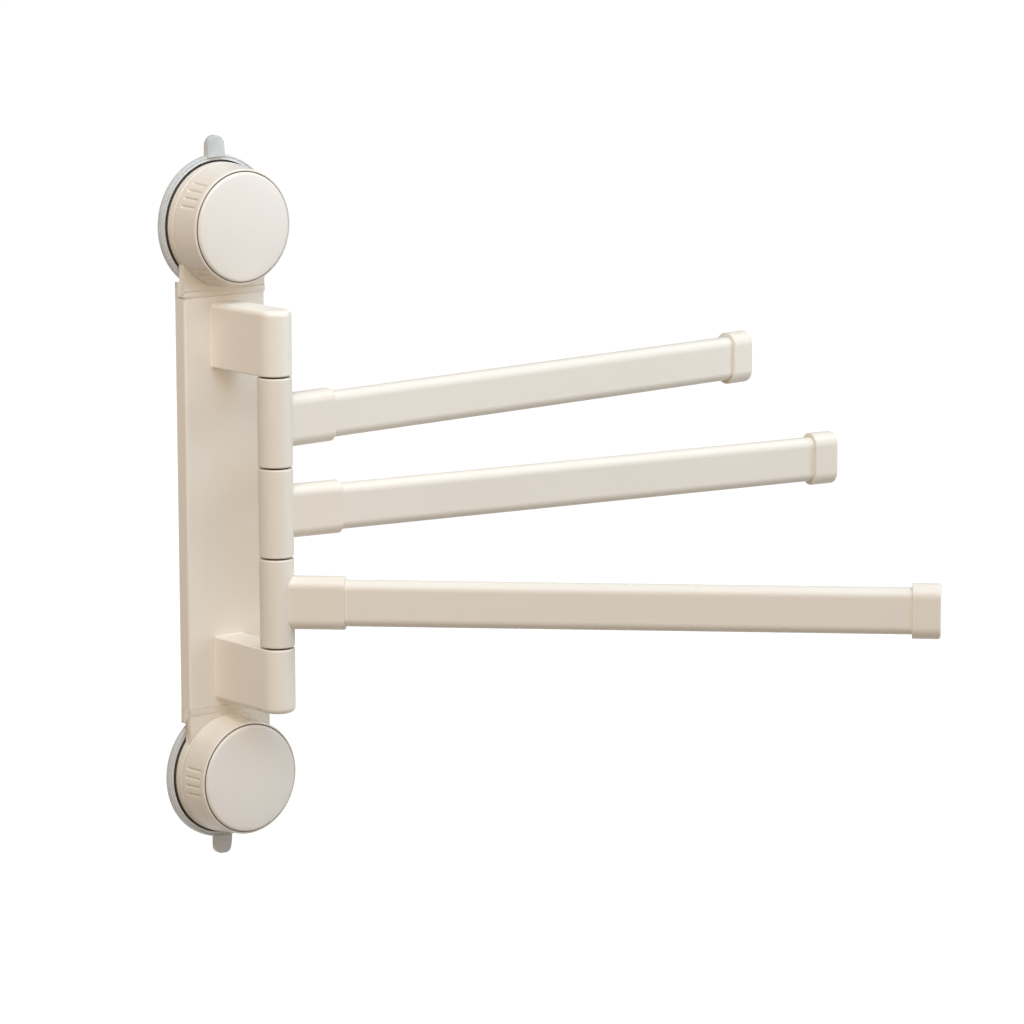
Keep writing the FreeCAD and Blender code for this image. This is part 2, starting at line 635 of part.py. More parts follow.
# ---------------------------------------------------------------- suction units
# Both units are the same parts; the lower one is turned half a turn about the cup's axis,
# and each cup and knob stands at its own angle, as it was left when it was locked.
# Each part is drawn about its own cup centre, with the plate below it.
for unit, sign, half_turn in (("upper", "", "0"), ("lower", "-", "180")):
    centre = dict(z=sign + "cup_spacing / 2", axis=V(0, 1, 0))
    where = dict(centre, angle=half_turn)
    knob_where = dict(centre, angle="%s + %s_knob_turn" % (half_turn, unit))

    # Suction cup: soft disc with a sealing rim, a groove with a small bead between its lip
    # and the drum, a boss that holds the stud's head, and a tab to peel it off the wall.
    cup = new_body(unit + "_suction_cup")
    profile = new_sketch(cup, "XY_Plane", "cup_profile")
    bead = "cup_bead_radius"
    add_outline(profile, [
        ("cup_radius - cup_seal_width", "0"),
        ("cup_radius", "0"),
        ("cup_radius", "-cup_edge_height"),
        ("cup_radius - cup_bevel", "-cup_rim_height"),
        ("cup_radius - cup_lip_width", "-cup_rim_height"),
        ("cup_radius - cup_lip_width", "-cup_groove_floor"),
        (bead + " + cup_bead", "-cup_groove_floor"),
        (bead + " + cup_bead / 2", "-(cup_groove_floor + cup_bead)"),
        (bead + " - cup_bead / 2", "-(cup_groove_floor + cup_bead)"),
        (bead + " - cup_bead", "-cup_groove_floor"),
        ("drum_radius + turning", "-cup_groove_floor"),
        ("drum_radius", "-cup_seat_height"),
        ("drum_radius - drum_rim_width", "-cup_seat_height"),
        ("cup_boss_radius + cup_crown_drop", "-(cup_seat_height + cup_crown_drop)"),
        ("cup_boss_radius", "-(cup_seat_height + 2 * cup_crown_drop)"),
        ("cup_boss_radius", "-cup_boss_height"),
        ("stud_flat + seat", "-cup_boss_height"),
        ("stud_flat + seat", "-(head_start + head_height + seat)"),
        ("head_radius + seat", "-(head_start + head_height + seat)"),
        ("head_radius + seat", "-(head_start - seat)"),
        ("0", "-(head_start - seat)"),
        ("0", "-cup_hollow", "arc"),
    ])
    revolve(cup, profile, "cup_disc")
    tab = new_sketch(cup, "XZ_Plane", "tab_outline", "tab_lift")
    add_box(tab, "-tab_width / 2", "tab_width / 2", "cup_radius - cup_lip_width",
            "cup_radius + tab_reach")
    pad(cup, tab, "tab", "tab_thickness")
    tab_top = value("cup_radius + tab_reach")
    fillet(cup, "tab_end", "tab_end_round",
           lambda e: e.BoundBox.ZMin > tab_top - 0.01 and abs(abs(e.CenterOfMass.x)
           - value("tab_width") / 2) < 0.01)
    place(cup, angle="%s + %s_cup_turn" % (half_turn, unit), **centre)
    nodes.append(cup)

    # Housing: drum over the cup, neck and foot down to the plate's end, and a tongue that
    # is screwed into the plate from behind.
    housing = new_body(unit + "_cup_housing")
    disc = new_sketch(housing, "XZ_Plane", "drum_outline", "cup_seat_height")
    add_circle(disc, "drum_radius")
    pad(housing, disc, "drum", "plate_front - cup_seat_height")
    drum_front = -value("plate_front")
    fillet(housing, "drum_edge", "drum_round", lambda e: lies(e, "Y", drum_front))
    slab = new_sketch(housing, "XZ_Plane", "neck_outline", "cup_seat_height")
    add_box(slab, "-plate_width / 2", "plate_width / 2", "-parting_drop", "0")
    pad(housing, slab, "neck", "neck_front - cup_seat_height")
    foot = new_sketch(housing, "XZ_Plane", "foot_outline", "plate_wall_gap")
    add_box(foot, "-foot_half", "foot_half", "-parting_drop", "-(end_drop - foot_height)")
    pad(housing, foot, "foot", "cup_seat_height - plate_wall_gap")
    outer_x = value("foot_half")
    shoulder = -value("end_drop - foot_height")
    fillet(housing, "foot_shoulders", "foot_corner",
           lambda e: abs(abs(e.CenterOfMass.x) - outer_x) < 0.01 and lies(e, "Z", shoulder))
    lip = new_sketch(housing, "XZ_Plane", "lip_outline", "cup_seat_height")
    add_box(lip, "-plate_width / 2", "plate_width / 2", "-parting_drop",
            "-(end_drop - lip_height)")
    pad(housing, lip, "foot_lip", "plate_front - cup_seat_height")
    lip_top = -value("end_drop - lip_height")
    fillet(housing, "lip_edge", "lip_round",
           lambda e: lies(e, "Z", lip_top) and lies(e, "Y", drum_front))
    tongue = new_sketch(housing, "XZ_Plane", "tongue_outline", "tongue_back")
    add_box(tongue, "-tongue_width / 2", "tongue_width / 2",
            "-(end_drop + tongue_length)", "-(end_drop - lip_height)")
    pad(housing, tongue, "tongue", "tongue_thickness")

    # Room behind the foot for the cup's rim, and behind the drum for the cup's crown.
    arc = new_sketch(housing, "XZ_Plane", "cup_room_outline", "0")
    add_circle(arc, "cup_radius + cup_clear")
    pocket(housing, arc, "cup_room", "cup_seat_height")
    crown = new_sketch(housing, "XZ_Plane", "crown_room_outline", "cup_seat_height")
    add_circle(crown, "drum_radius - drum_rim_width")
    pocket(housing, crown, "crown_room", "floor_back - cup_seat_height")

    # Turret round the cup's boss, which guides the stud, and the collar the knob turns on.
    for name, outer, start, length in (
            ("turret", "turret_radius", "floor_back", "turret_top - floor_back"),
            ("collar", "collar_radius", "floor_back", "plate_front + collar_height - floor_back")):
        round_part = new_sketch(housing, "XZ_Plane", name + "_outline", start)
        add_circle(round_part, outer)
        if name == "collar":
            add_circle(round_part, "collar_radius - collar_width")
        pad(housing, round_part, name, length)
    boss_room = new_sketch(housing, "XZ_Plane", "boss_room_outline", "cup_seat_height")
    add_circle(boss_room, "turret_bore")
    pocket(housing, boss_room, "boss_room", "turret_top - turret_skin - cup_seat_height")
    guide = new_sketch(housing, "XZ_Plane", "stud_guide_outline", "cup_seat_height")
    add_double_d(guide, "stud_radius + running", "stud_flat + running")
    pocket(housing, guide, "stud_guide", "turret_top")
    clear = new_sketch(housing, "XZ_Plane", "boss_clearance_outline", "0")
    for side in ("-", ""):
        add_circle(clear, "screw_boss_radius + boss_play", side + "screw_spread / 2",
                   "-screw_drop")
    pocket(housing, clear, "boss_clearance", "plate_front")
    place(housing, **where)
    nodes.append(housing)

    # Stud: head in the cup's boss, shank with two flats that the turret keeps from turning.
    stud = new_body(unit + "_draw_stud")
    turned = new_sketch(stud, "XY_Plane", "stud_profile")
    add_outline(turned, [
        ("0", "-head_start"),
        ("head_radius", "-head_start"),
        ("head_radius", "-(head_start + head_height)"),
        ("stud_flat", "-(head_start + head_height)"),
        ("stud_flat", "-(cup_boss_height + turning)"),
        ("0", "-(cup_boss_height + turning)"),
    ])
    revolve(stud, turned, "stud_head")
    shank = new_sketch(stud, "XZ_Plane", "shank_section", "cup_boss_height + turning")
    add_double_d(shank, "stud_radius", "stud_flat")
    pad(stud, shank, "shank", "stud_end - cup_boss_height - turning")
    place(stud, **where)
    nodes.append(stud)

    # Knob ring: the grip, with a web that holds the nut and a rebate for the front disc.
    knob = new_body(unit + "_knob_ring")
    shape = new_sketch(knob, "XY_Plane", "ring_profile")
    hub_bore, hub_outer = "turret_radius + turning", "turret_radius + turning + hub_skin"
    add_outline(shape, [
        ("knob_bore", "-knob_rear"),
        ("knob_rear_radius", "-knob_rear"),
        ("knob_front_radius", "-knob_front"),
        ("knob_rim_radius", "-knob_front"),
        ("knob_rim_radius", "-(disc_rear - turning)"),
        ("knob_bore", "-(disc_rear - turning)"),
        ("knob_bore", "-web_front"),
        (hub_outer, "-web_front"),
        (hub_outer, "-(nut_rear + nut_height)"),
        ("nut_across / 2 - nut_ledge", "-(nut_rear + nut_height)"),
        ("nut_across / 2 - nut_ledge", "-nut_rear"),
        (hub_bore, "-nut_rear"),
        (hub_bore, "-(plate_front + collar_height)"),
        (hub_outer, "-(plate_front + collar_height)"),
        (hub_outer, "-knob_web_depth"),
        ("knob_bore", "-knob_web_depth"),
    ])
    revolve(knob, shape, "ring_body")
    face = -value("knob_front")
    fillet(knob, "rim_edge", "knob_rim_round",
           lambda e: lies(e, "Y", face)
           and abs(e.BoundBox.XMax - value("knob_front_radius")) < 0.01)
    hexagon = new_sketch(knob, "XZ_Plane", "nut_pocket_outline", "nut_rear - overrun")
    corners = []
    for k in range(6):
        across = "(nut_across / 2 + seat) / cos(30 deg)"
        corners.append(("%s * cos(%d deg)" % (across, 60 * k + 30),
                        "%s * sin(%d deg)" % (across, 60 * k + 30)))
    add_outline(hexagon, corners)
    pocket(knob, hexagon, "nut_pocket", "nut_height + 2 * overrun")

    # Finger grooves: one group cut at a time round the ring, each a set of short slots.
    slots = new_sketch(knob, "XZ_Plane", "groove_outline", "groove_start")
    for k in range(int(value("groove_count"))):
        turn = "(groove_first + groove_step * (%s)) * 1 deg" % (k - (value("groove_count") - 1) / 2)
        low, high = "knob_front_radius - groove_cut", "knob_rear_radius + overrun"
        corners = []
        for reach, swing in ((low, -1), (high, -1), (high, 1), (low, 1)):
            shift = "%d * groove_width / 2" % swing
            corners.append(("(%s) * cos(%s) - (%s) * sin(%s)" % (reach, turn, shift, turn),
                            "(%s) * sin(%s) + (%s) * cos(%s)" % (reach, turn, shift, turn)))
        add_outline(slots, corners)
    slot_cut = pocket(knob, slots, "groove_group", "groove_length")
    around = knob.newObject("PartDesign::PolarPattern", "groove_groups_around")
    around.Originals = [slot_cut]
    around.Axis = (origin_of(knob, "Y_Axis"), [""])
    around.Angle = 360
    around.setExpression("Occurrences", formula("groove_groups"))
    knob.Tip = around
    doc.recompute()
    place(knob, **knob_where)
    nodes.append(knob)

    # Front disc: slightly domed, snapped into the ring's rebate on a skirt.
    front_disc = new_body(unit + "_knob_disc")
    lens = new_sketch(front_disc, "XY_Plane", "disc_profile")
    rim = "knob_rim_radius - disc_gap"
    add_outline(lens, [
        ("0", "-disc_rear"),
        ("disc_skirt_radius - disc_skirt", "-disc_rear"),
        ("disc_skirt_radius - disc_skirt", "-(web_front + seat)"),
        ("disc_skirt_radius", "-(web_front + seat)"),
        ("disc_skirt_radius", "-disc_rear"),
        (rim, "-disc_rear"),
        (rim, "-disc_front", "arc"),
        ("0", "-(disc_front + disc_dome)"),
    ])
    revolve(front_disc, lens, "disc_body")
    level_y = -value("disc_front")
    fillet(front_disc, "disc_edge", "disc_round", lambda e: lies(e, "Y", level_y))
    place(front_disc, **knob_where)
    nodes.append(front_disc)

    # Nut: hexagonal, let into the ring's web; it draws the stud off the wall.
    block = doc.addObject("Part::Prism", unit + "_nut_block")
    block.Polygon = 6
    block.setExpression("Circumradius", formula("nut_across / 2 / cos(30 deg)"))
    block.setExpression("Height", formula("nut_height"))
    thread = doc.addObject("Part::Cylinder", unit + "_nut_hole")
    thread.setExpression("Radius", formula("stud_radius + running"))
    thread.setExpression("Height", formula("nut_height"))
    nut = doc.addObject("Part::Cut", unit + "_draw_nut")
    nut.Base, nut.Tool = block, thread
    stand = FreeCAD.Rotation(V(1, 0, 0), 90).multiply(FreeCAD.Rotation(V(0, 0, 1), 30))
    knob_turn = FreeCAD.Rotation(V(0, 1, 0), value(knob_where["angle"]))
    nut.Placement = FreeCAD.Placement(V(0, 0, 0), knob_turn.multiply(stand))
    nut.setExpression("Placement.Base.y", formula("-nut_rear"))
    nut.setExpression("Placement.Base.z", formula(sign + "cup_spacing / 2"))
    nodes.append(nut)

# Screws that hold both housings' tongues to the plate, heads towards the wall.
screw_list = []
for unit, sign in (("upper", ""), ("lower", "-")):
    for side in ("left", "right"):
        name = "%s_%s_screw" % (unit, side)
        stem = doc.addObject("Part::Cylinder", name + "_stem")
        stem.setExpression("Radius", formula("screw_radius"))
        stem.setExpression("Height", formula("screw_head_height + screw_bite"))
        head = doc.addObject("Part::Cylinder", name + "_head")
        head.setExpression("Radius", formula("screw_head_radius"))
        head.setExpression("Height", formula("screw_head_height"))
        screw = doc.addObject("Part::Fuse", name)
        screw.Base, screw.Tool = stem, head
        screw.Placement = FreeCAD.Placement(V(0, 0, 0), FreeCAD.Rotation(V(1, 0, 0), 90))
        across = ("-" if side == "left" else "") + "screw_spread / 2"
        screw.setExpression("Placement.Base.x", formula(across))
        screw.setExpression("Placement.Base.y", formula("-(tongue_back - screw_head_height)"))
        screw.setExpression("Placement.Base.z",
                            formula("%s(plate_length / 2 - tongue_length / 2)" % sign))
        screw_list.append(screw)
screws = doc.addObject("Part::Compound", "housing_screws")
screws.Links = screw_list
nodes.append(screws)

# ---------------------------------------------------------------- checks and files
doc.recompute()
for item in doc.Objects:
    if "Invalid" in item.State or "Error" in item.State:
        raise ValueError("%s did not build" % item.Label)
os.makedirs("parts", exist_ok=True)
for node in nodes:
    if node.Shape.isNull() or not node.Shape.isValid():
        raise ValueError("%s has no valid shape" % node.Label)
    node.Shape.exportStep("parts/%s.step" % node.Label)
    print("%-22s solids %d  volume %.1f" % (node.Label, len(node.Shape.Solids), node.Shape.Volume))
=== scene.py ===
import json
import math
import bmesh
import bpy
from mathutils import Matrix, Vector


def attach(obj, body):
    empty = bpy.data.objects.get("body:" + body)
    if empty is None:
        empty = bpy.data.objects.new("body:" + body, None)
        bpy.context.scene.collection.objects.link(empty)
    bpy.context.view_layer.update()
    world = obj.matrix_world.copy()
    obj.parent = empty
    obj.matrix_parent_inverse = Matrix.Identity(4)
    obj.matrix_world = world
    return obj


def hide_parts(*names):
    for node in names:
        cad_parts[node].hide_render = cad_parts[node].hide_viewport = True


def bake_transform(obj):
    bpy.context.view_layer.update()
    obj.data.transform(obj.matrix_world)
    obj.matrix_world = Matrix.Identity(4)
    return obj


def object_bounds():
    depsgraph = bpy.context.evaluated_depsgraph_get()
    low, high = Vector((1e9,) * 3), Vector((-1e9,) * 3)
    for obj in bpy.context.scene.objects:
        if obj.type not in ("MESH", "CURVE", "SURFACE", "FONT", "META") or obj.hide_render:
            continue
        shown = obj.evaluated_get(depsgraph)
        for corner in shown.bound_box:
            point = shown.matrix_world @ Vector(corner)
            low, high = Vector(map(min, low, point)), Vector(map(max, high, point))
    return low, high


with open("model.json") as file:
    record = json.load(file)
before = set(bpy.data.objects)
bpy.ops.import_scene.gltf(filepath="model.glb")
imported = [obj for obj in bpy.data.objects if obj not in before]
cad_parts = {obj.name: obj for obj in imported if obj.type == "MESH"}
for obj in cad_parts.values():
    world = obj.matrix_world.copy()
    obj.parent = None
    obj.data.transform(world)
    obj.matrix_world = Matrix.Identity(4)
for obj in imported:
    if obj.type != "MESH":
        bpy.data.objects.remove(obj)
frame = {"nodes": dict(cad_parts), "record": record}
cad_bounds = [list(corner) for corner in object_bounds()]

# ---------------------------------------------------------------- camera
# The product is seen from its left and a little from above, through a long lens, so that
# the back plate shows its side and the arms run off to the right.
VIEW_AZIMUTH = math.radians(-38.42)
VIEW_ELEVATION = math.radians(10.09)
VIEW_ROLL = math.radians(-0.17)
VIEW_DISTANCE = 2.3994
VIEW_TARGET = Vector((0.0924, -0.1238, -0.0003))
LENS_MM = 168.7
SENSOR_MM = 36.0
FARTHEST_SEEN = 50.0

towards_camera = Vector((math.sin(VIEW_AZIMUTH) * math.cos(VIEW_ELEVATION),
                         -math.cos(VIEW_AZIMUTH) * math.cos(VIEW_ELEVATION),
                         math.sin(VIEW_ELEVATION)))
camera_data = bpy.data.cameras.new("photo_camera")
camera_data.lens = LENS_MM
camera_data.sensor_width = SENSOR_MM
camera_data.clip_end = FARTHEST_SEEN
camera = bpy.data.objects.new("photo_camera", camera_data)
bpy.context.scene.collection.objects.link(camera)
aim = towards_camera.to_track_quat("Z", "Y").to_matrix()
camera.matrix_world = Matrix.Translation(VIEW_TARGET + towards_camera * VIEW_DISTANCE) \
    @ (aim @ Matrix.Rotation(VIEW_ROLL, 3, "Z")).to_4x4()
bpy.context.scene.camera = camera

# ---------------------------------------------------------------- studio
# A plain pale floor well below the product, which hangs free above it, a white surround, and
# five softboxes on one sphere: in front above, and high and low at each side.
FLOOR_DROP = 0.8
FLOOR_SIZE = 30.0
FLOOR_ALBEDO = "#b0b0ae"
PAPER_GRAIN_MM = 33.0
PAPER_TONES = (0.98, 1.0)
SURROUND = "#ffffff"
SURROUND_WARMTH = "#ffecdd"
SURROUND_LEVEL = 0.25
SOFTBOX_SIZE = 1.2
SOFTBOX_DISTANCE = 2.0
LIT_POINT = Vector((0.10, -0.08, 0.0))


def linear(hex_colour):
    """An sRGB hex colour as linear red, green and blue with full alpha."""
    parts = [int(hex_colour[k:k + 2], 16) / 255 for k in (1, 3, 5)]
    return [c / 12.92 if c <= 0.04045 else ((c + 0.055) / 1.055) ** 2.4 for c in parts] + [1.0]


def add_node(tree, kind, inputs=None, **settings):
    """Adds a shader node; each input is a plain value or another node's output."""
    made = tree.nodes.new(kind)
    for name, setting in settings.items():
        setattr(made, name, setting)
    for socket, given in (inputs or {}).items():
        if isinstance(given, bpy.types.NodeSocket):
            tree.links.new(given, made.inputs[socket])
        else:
            made.inputs[socket].default_value = given
    return made


def new_material(name):
    """A material with an empty node tree."""
    made = bpy.data.materials.new(name)
    made.use_nodes = True
    made.node_tree.nodes.clear()
    return made, made.node_tree


def object_noise(tree, feature_mm, detail=2.0):
    """Noise in object coordinates whose features have a real size."""
    place = add_node(tree, "ShaderNodeTexCoord")
    return add_node(tree, "ShaderNodeTexNoise", {"Vector": place.outputs["Object"],
                                                 "Scale": 1000.0 / feature_mm,
                                                 "Detail": detail})


def seen_by(tree, *kinds):
    """One for light rays of the named kinds and zero for all others."""
    rays = add_node(tree, "ShaderNodeLightPath")
    seen = rays.outputs[kinds[0]]
    for kind in kinds[1:]:
        either = add_node(tree, "ShaderNodeMath", {0: seen, 1: rays.outputs[kind]},
                          operation="MAXIMUM")
        seen = either.outputs[0]
    return seen


floor_mesh = bpy.data.meshes.new("studio_floor")
shape = bmesh.new()
bmesh.ops.create_grid(shape, x_segments=1, y_segments=1, size=FLOOR_SIZE / 2)
bmesh.ops.translate(shape, verts=shape.verts, vec=(0, 0, cad_bounds[0][2] - FLOOR_DROP))
shape.to_mesh(floor_mesh)
shape.free()
floor = bpy.data.objects.new("studio_floor", floor_mesh)
bpy.context.scene.collection.objects.link(floor)
paper, tree = new_material("white_studio_paper")
seen = seen_by(tree, "Is Camera Ray", "Is Glossy Ray", "Is Transmission Ray")
grain = object_noise(tree, PAPER_GRAIN_MM)
tone = add_node(tree, "ShaderNodeMapRange", {"Value": grain.outputs["Fac"],
                                             "To Min": PAPER_TONES[0],
                                             "To Max": PAPER_TONES[1]})
matte = add_node(tree, "ShaderNodeBsdfDiffuse", {"Color": linear(FLOOR_ALBEDO)})
lift = add_node(tree, "ShaderNodeMath", {0: seen, 1: tone.outputs[0]}, operation="MULTIPLY")
glow = add_node(tree, "ShaderNodeEmission", {"Color": linear(SURROUND),
                                             "Strength": lift.outputs[0]})
both = add_node(tree, "ShaderNodeAddShader", {0: matte.outputs[0], 1: glow.outputs[0]})
add_node(tree, "ShaderNodeOutputMaterial", {"Surface": both.outputs[0]})
floor_mesh.materials.append(paper)

world = bpy.data.worlds.new("white_surround")
world.use_nodes = True
bpy.context.scene.world = world
tree = world.node_tree
tree.nodes.clear()
seen = seen_by(tree, "Is Camera Ray", "Is Transmission Ray")
level = add_node(tree, "ShaderNodeMapRange", {"Value": seen, "To Min": SURROUND_LEVEL,
                                              "To Max": 1.0})
warmth = add_node(tree, "ShaderNodeMix", {"Factor": seen, "A": linear(SURROUND_WARMTH),
                                          "B": linear(SURROUND)}, data_type="RGBA")
sky = add_node(tree, "ShaderNodeBackground", {"Color": warmth.outputs["Result"],
                                              "Strength": level.outputs[0]})
add_node(tree, "ShaderNodeOutputWorld", {"Surface": sky.outputs[0]})


def softbox(name, azimuth, elevation, watts, hex_colour):
    """A square area lamp that faces the product, from degrees to the right of the room side
    and degrees above the horizon."""
    data = bpy.data.lights.new(name, "AREA")
    data.shape = "SQUARE"
    data.size = SOFTBOX_SIZE
    data.energy = watts
    data.color = linear(hex_colour)[:3]
    turn, rise = math.radians(azimuth), math.radians(elevation)
    towards = Vector((math.sin(turn) * math.cos(rise), -math.cos(turn) * math.cos(rise),
                      math.sin(rise)))
    lamp = bpy.data.objects.new(name, data)
    lamp.location = LIT_POINT + towards * SOFTBOX_DISTANCE
    lamp.rotation_euler = towards.to_track_quat("Z", "Y").to_euler()
    bpy.context.scene.collection.objects.link(lamp)


softbox("front_softbox", 0.0, 50.0, 16.8, "#cde4ff")
softbox("right_softbox", 60.0, 50.0, 15.1, "#e6f6ff")
softbox("left_softbox", -60.0, 50.0, 21.5, "#fbfdff")
softbox("low_right_softbox", 55.0, 10.0, 10.8, "#ffffff")
softbox("low_left_softbox", -55.0, 10.0, 6.8, "#ffcf8c")
bpy.context.scene.view_settings.view_transform = "Standard"

# ---------------------------------------------------------------- mouldings
# The wall plate with its two hinge brackets, and the plug pressed in under the lower one:
# injection-moulded ABS in a satin champagne beige.
FLOW_MM = 60.0
SPARK_MM = 0.9
SPARK_DEPTH_MM = 0.012
SATIN = (0.36, 0.46)


def grained(name, colour, drift, drift_mm, grain_mm, grain_depth_mm, rough, **shader_inputs):
    """A finish whose colour drifts slowly and whose gloss and surface have a fine grain."""
    made, tree = new_material(name)
    slow = object_noise(tree, drift_mm)
    tint = add_node(tree, "ShaderNodeMix", {"Factor": slow.outputs["Fac"], "A": linear(colour),
                                            "B": linear(drift)}, data_type="RGBA")
    fine = object_noise(tree, grain_mm, detail=3.0)
    gloss = add_node(tree, "ShaderNodeMapRange", {"Value": fine.outputs["Fac"],
                                                  "To Min": rough[0], "To Max": rough[1]})
    bump = add_node(tree, "ShaderNodeBump", {"Height": fine.outputs["Fac"],
                                             "Distance": grain_depth_mm / 1000.0})
    inputs = {"Base Color": tint.outputs["Result"], "Roughness": gloss.outputs["Result"],
              "Normal": bump.outputs["Normal"]}
    inputs.update(shader_inputs)
    shader = add_node(tree, "ShaderNodeBsdfPrincipled", inputs)
    add_node(tree, "ShaderNodeOutputMaterial", {"Surface": shader.outputs[0]})
    return made


def moulded_abs(name, colour, drift):
    """ABS from a spark-eroded mould: a broad soft sheen with hardly any visible grain. The
    real texture is 0.1 mm, drawn at 0.9 mm so that it shows at all."""
    return grained(name, colour, drift, FLOW_MM, SPARK_MM, SPARK_DEPTH_MM, SATIN, IOR=1.53)


def refinish(material, *names):
    """Gives CAD nodes that keep their shape a better material."""
    for name in names:
        node = frame["nodes"][name]
        node.data.materials.clear()
        node.data.materials.append(material)


satin_abs = moulded_abs("satin_moulded_abs", "#e8e1d4", "#e5dccd")
# The plate is painted a shade lighter than the rest: painted light that makes up for the shade
# the hinge column and arms cast on it.
plate_painted_light_abs = moulded_abs("satin_moulded_abs_plate_painted_light", "#f0e9dd", "#ede5d7")
refinish(plate_painted_light_abs, "back_plate")
refinish(satin_abs, "pin_plug")

# ---------------------------------------------------------------- screws, pin and studs
# Ground stainless steel: the screws that hold the housings' tongues to the plate from behind,
# the pin that runs through the column, and the studs that draw the cups.
stainless = grained("ground_stainless_steel", "#c6c5c1", "#bdbcb9", 12.0, 0.8, 0.006,
                    (0.22, 0.34), Metallic=1.0)
refinish(stainless, "pivot_pin", "housing_screws", "upper_draw_stud", "lower_draw_stud")

# ---------------------------------------------------------------- bearings
# Nylon bushes pressed into each barrel, moulded and waxy, and a washer in each gap of the
# column, coloured dark as painted shade so that the gap shows as a dark line.
nylon = grained("moulded_nylon", "#d9d4c6", "#cfc9b8", 8.0, 0.9, 0.01, (0.42, 0.55),
                IOR=1.53)
refinish(nylon, "top_arm_bushes", "middle_arm_bushes", "bottom_arm_bushes")
washer_painted_shade = grained("dark_washer_painted_shade", "#3a3631", "#322f2b", 6.0, 0.8, 0.01, (0.4, 0.5), IOR=1.48)
refinish(washer_painted_shade, "friction_washers")

# ---------------------------------------------------------------- draw nuts
# Turned brass nuts let into the knobs, each on the thread of its stud.
brass = grained("turned_brass", "#c8a560", "#bd9850", 10.0, 0.8, 0.006, (0.25, 0.36),
                Metallic=1.0)
refinish(brass, "upper_draw_nut", "lower_draw_nut")

# ---------------------------------------------------------------- arms
# Each arm is an aluminium tube of oval section, painted to match the mouldings, in a
# moulded hub and end cap.
painted_aluminium = grained("painted_aluminium", "#e8e2d6", "#e5ded0", 80.0, 1.4, 0.01,
                            (0.44, 0.52), IOR=1.5)
for arm in ("top_arm", "middle_arm", "bottom_arm"):
    refinish(painted_aluminium, arm + "_bar")
    refinish(satin_abs, arm + "_hub", arm + "_end_cap")

# ---------------------------------------------------------------- suction cups
# Clear soft PVC discs, slightly milky, moulded round the head of the stud. Each has a broad
# lip with a fine channel on it, a narrow groove round the drum, and a tab to peel it off.
UNITS = ("upper", "lower")
CUP_CENTRE = next(joint["pos_m"][2] for joint in frame["record"]["behaviour"]["joints"]
                  if joint["name"] == "upper_knob_turn")
CUP_TURN = {"upper": -1.5, "lower": 3.0}
QUARTER_STEPS = 48
HOLLOW_RADIUS = 29.6
HOLLOW_DEPTH = 2.8
# The groove's faces, which get the painted shade, lie between these distances in mm from the
# axis and from the wall.
SHADED_REACH = (30.5, 31.86)
SHADED_DEPTHS = (0.5, 4.1)
# Each tab's width, the height of its end over the cup's centre, and its corners' radius.
TAB_SIZES = {"upper": (10.2, 44.4, 5.0), "lower": (9.5, 43.1, 3.6)}
TAB_FRONT = 4.35
TAB_LIFT = 0.1
TAB_ROOT = 33.6
TAB_CORNER_STEPS = 12
TAB_RIM_FROM = 35.2
TAB_RIM_ROUND = 0.7
TAB_RIM_STEPS = 3
TAB_RIM_ANGLE = 1.0
TAB_FACE_FROM = 34.65
TAB_FACE_TURNED = 0.7
SAME_PLACE = 1e-6
WELD = 1e-7
CUP_OUTLINE = (
    [(0.0, 4.98), (5.17, 4.98), (5.17, 7.92), (3.02, 7.92), (3.02, 12.2), (6.8, 12.2)]
    + [(7.2, 11.8), (7.2, 6.0), (8.2, 5.0), (26.6, 4.02), (30.6, 4.0)]
    + [(31.0, 3.7), (31.1, 1.5), (31.3, 1.3), (31.6, 1.3), (31.8, 1.6), (31.85, 2.9)]
    + [(32.0, 3.1), (32.4, 3.15), (32.9, 3.0), (33.1, 2.75), (33.3, 3.0), (33.7, 3.2)]
    + [(34.15, 3.1), (34.45, 2.5)]
    + [(34.6, 1.2), (34.6, 0.2), (34.4, 0.0), (HOLLOW_RADIUS, 0.0)]
    + [(r, HOLLOW_DEPTH * (1 - (r / HOLLOW_RADIUS) ** 2))
       for r in (26.0, 22.0, 17.0, 12.0, 7.0, 3.0, 0.0)]
)


def quarter_turned(profile, steps):
    """A bmesh of a (radius, depth) outline in mm, spun a quarter turn from X up towards Z."""
    shape = bmesh.new()
    points = [shape.verts.new((r / 1000, -d / 1000, 0.0)) for r, d in profile]
    for here, there in zip(points, points[1:]):
        shape.edges.new((here, there))
    if profile[0][0] > 0:
        shape.edges.new((points[-1], points[0]))
    bmesh.ops.spin(shape, geom=shape.verts[:] + shape.edges[:], cent=(0, 0, 0),
                   axis=(0, 1, 0), angle=-math.pi / 2, steps=steps)
    return shape


def all_round(quarter):
    """Copies a quarter turn three times and welds the whole."""
    first = quarter.verts[:] + quarter.edges[:] + quarter.faces[:]
    for k in (1, 2, 3):
        made = bmesh.ops.duplicate(quarter, geom=first)["geom"]
        bmesh.ops.rotate(quarter, verts=[v for v in made if isinstance(v, bmesh.types.BMVert)],
                         cent=(0, 0, 0), matrix=Matrix.Rotation(-k * math.pi / 2, 3, "Y"))
    bmesh.ops.remove_doubles(quarter, verts=quarter.verts, dist=WELD)
    bmesh.ops.recalc_face_normals(quarter, faces=quarter.faces)
    return quarter


